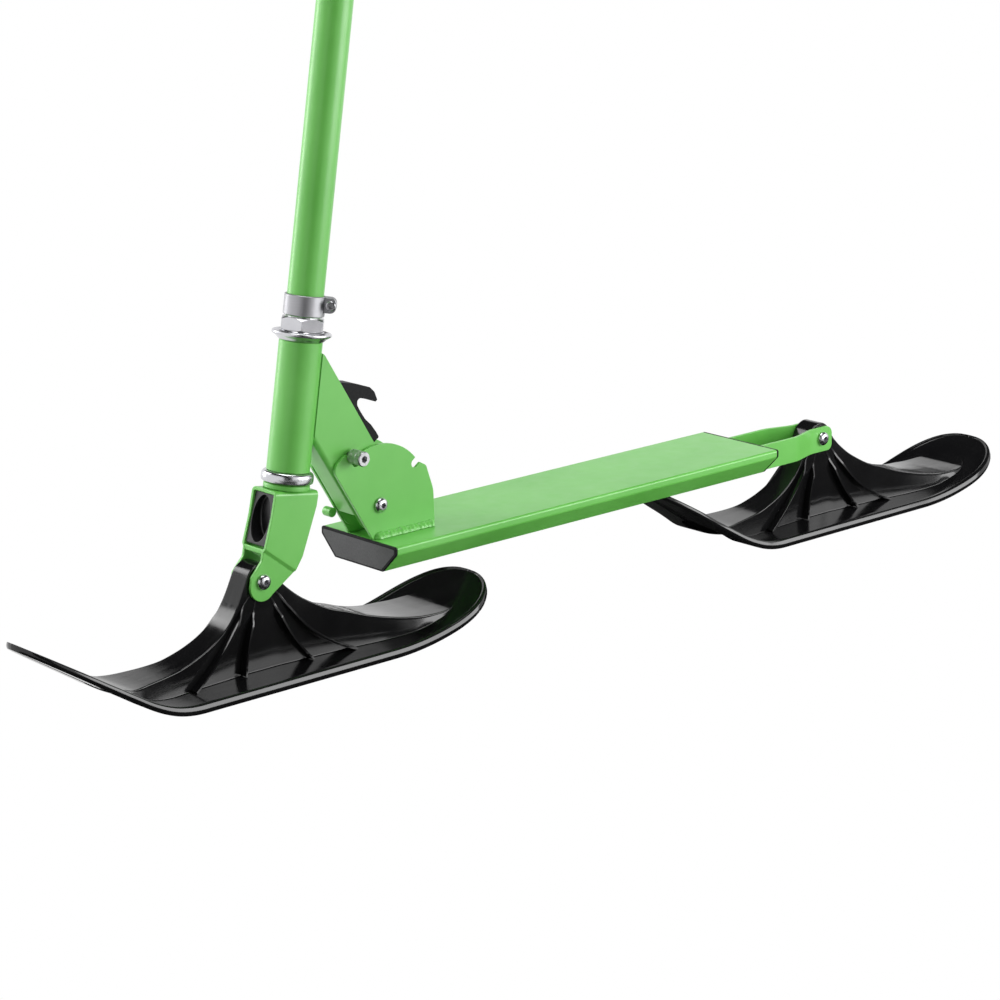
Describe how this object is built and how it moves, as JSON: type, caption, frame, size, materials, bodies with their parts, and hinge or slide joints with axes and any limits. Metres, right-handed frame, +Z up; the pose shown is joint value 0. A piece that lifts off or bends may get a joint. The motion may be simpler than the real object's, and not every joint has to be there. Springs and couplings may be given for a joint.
{
  "type": "snow_scooter",
  "caption": "Folding snow scooter: a green deck and stem on pitching black skis, with a sliding fold lock, a steered fork and a height-adjustable handlebar.",
  "frame": {"origin": "on the ground under the middle of the scooter, half way between ski nose and ski tail ends", "axes": "+X towards the front, +Y to the rider's left, +Z up; at rest both skis lie flat on z = 0"},
  "size_m": [1.2272, 0.3496, 0.8788],
  "materials": {
    "green_paint": "satin",
    "black_moulding": "gloss",
    "black_trim": "satin",
    "grey_cap": "matte",
    "grip_foam": "matte",
    "bright_chrome": "polished",
    "plain_steel": "brushed",
    "bare_aluminium": "brushed"
  },
  "bodies": {
    "chassis": {"deck_plate": "green_paint", "deck_front_cap": "grey_cap", "deck_rear_cap": "black_trim", "rear_arm_left": "green_paint", "rear_arm_right": "green_paint", "rear_axle_bolt": "bright_chrome", "rear_axle_nut": "bright_chrome", "hinge_plate_left": "green_paint", "hinge_plate_right": "green_paint", "hinge_bolt": "bright_chrome", "hinge_nut": "bright_chrome", "hinge_stud": "green_paint"},
    "stem": {"neck": "green_paint", "hinge_bush": "plain_steel", "head_tube": "green_paint", "lower_headset_cup": "bright_chrome", "upper_headset_cup": "bright_chrome", "lock_spring": "plain_steel", "spring_seat": "plain_steel"},
    "lock": {"lock_pin": "plain_steel", "lock_knob_left": "plain_steel", "lock_knob_right": "plain_steel", "release_lever": "black_trim"},
    "steering": {"fork": "green_paint", "fork_insert": "black_trim", "front_axle_bolt": "bright_chrome", "front_axle_nut": "bright_chrome", "steerer_tube": "plain_steel", "crown_race": "green_paint", "lower_bearing": "plain_steel", "upper_bearing": "plain_steel", "cone_nut": "bright_chrome", "lock_nut": "bright_chrome", "steering_tube": "green_paint", "clamp_collar": "bare_aluminium", "collar_bolt": "plain_steel", "top_clamp": "bare_aluminium", "clamp_bolt": "plain_steel", "clamp_nut": "plain_steel"},
    "quick_lever": {"clamp_lever": "black_trim"},
    "handlebar_unit": {"height_tube": "bare_aluminium", "handlebar": "bare_aluminium", "grip_left": "grip_foam", "grip_right": "grip_foam", "bar_plug_left": "black_trim", "bar_plug_right": "black_trim"},
    "front_runner": {"front_ski": "black_moulding", "front_ski_bush": "plain_steel"},
    "rear_runner": {"rear_ski": "black_moulding", "rear_ski_bush": "plain_steel"}
  },
  "joints": [
    {"name": "fold", "type": "hinge", "parent": "chassis", "child": "stem", "pos_m": [0.2299, 0, 0.1307], "axis": [0, -1, 0], "range_deg": [0, 85]},
    {"name": "lock_slide", "type": "slide", "parent": "stem", "child": "lock", "axis": [0.5299, 0, 0.848], "range_m": [-0.0078, 0]},
    {"name": "steer", "type": "hinge", "parent": "stem", "child": "steering", "pos_m": [0.33432, 0, 0.08218], "axis": [-0.153, 0, 0.9882], "range_deg": [-50, 50]},
    {"name": "front_ski_pitch", "type": "hinge", "parent": "steering", "child": "front_runner", "pos_m": [0.3616, 0, 0.0864], "axis": [0, 1, 0], "range_deg": [-18, 5]},
    {"name": "rear_ski_pitch", "type": "hinge", "parent": "chassis", "child": "rear_runner", "pos_m": [-0.3616, 0, 0.0864], "axis": [0, 1, 0], "range_deg": [0, 15]},
    {"name": "bar_height", "type": "slide", "parent": "steering", "child": "handlebar_unit", "axis": [-0.153, 0, 0.9882], "range_m": [-0.09, 0.06]},
    {"name": "quick_lever_swing", "type": "hinge", "parent": "steering", "child": "quick_lever", "pos_m": [0.22151, 0.0158, 0.63442], "axis": [-0.153, 0, 0.9882], "range_deg": [0, 120]}
  ]
}
